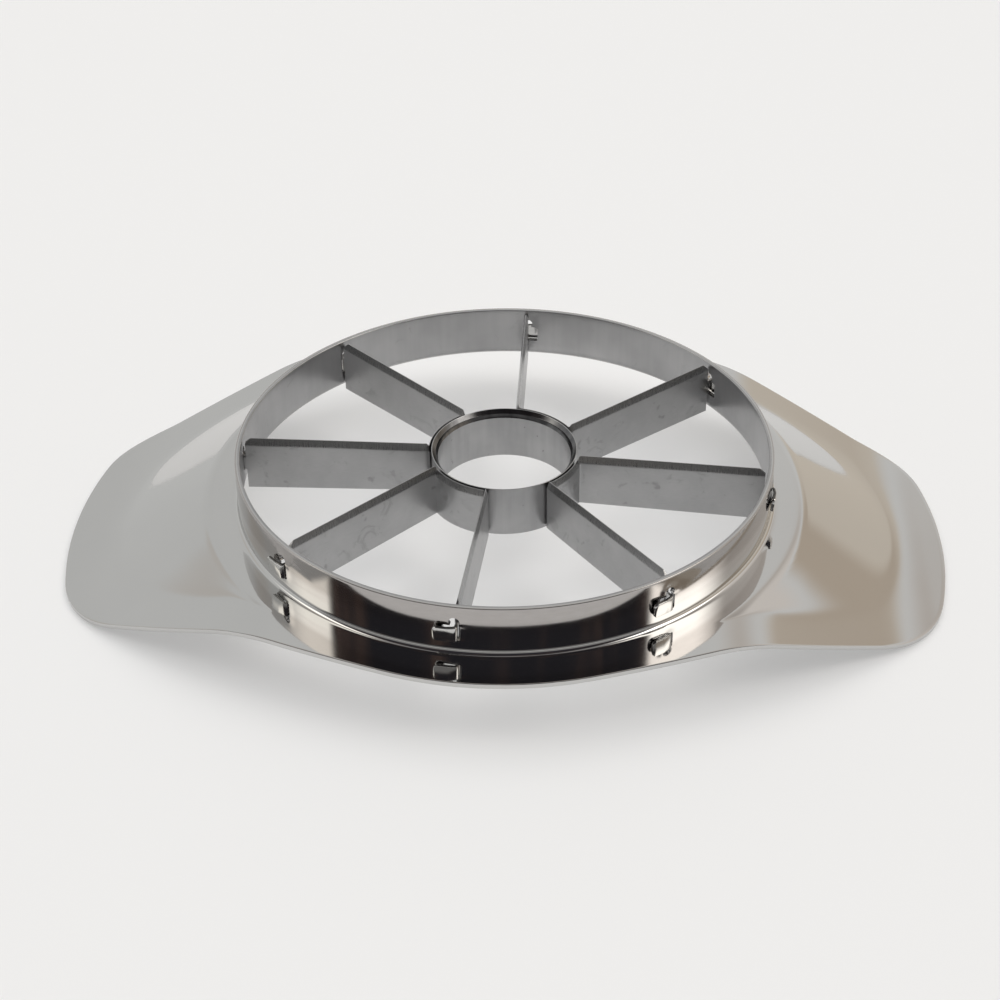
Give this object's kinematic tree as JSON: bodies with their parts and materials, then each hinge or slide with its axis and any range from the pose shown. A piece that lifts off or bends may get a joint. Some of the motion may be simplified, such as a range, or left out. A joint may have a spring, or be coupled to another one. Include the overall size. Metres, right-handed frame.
{
  "type": "apple slicer",
  "caption": "Round steel fruit slicer and corer: a pressed ring with two wing handles, a centre tube and radial blades that cut a fruit into wedges.",
  "frame": {"origin": "on the ring's axis, at the level of the wing tips that the part stands on", "axes": "+X along the two wings, +Y across them, +Z along the ring's axis towards the cutting edges"},
  "size_m": [0.1528, 0.106, 0.0205],
  "materials": {
    "polished_steel": "polished",
    "tube_steel": "satin",
    "blade_steel": "satin"
  },
  "bodies": {
    "root": {"pressed_body": "polished_steel", "corer_tube": "tube_steel", "blade_pair_right_back": "blade_steel", "blade_pair_left_back": "blade_steel", "blade_pair_left_front": "blade_steel", "blade_pair_right_front": "blade_steel"}
  },
  "joints": []
}
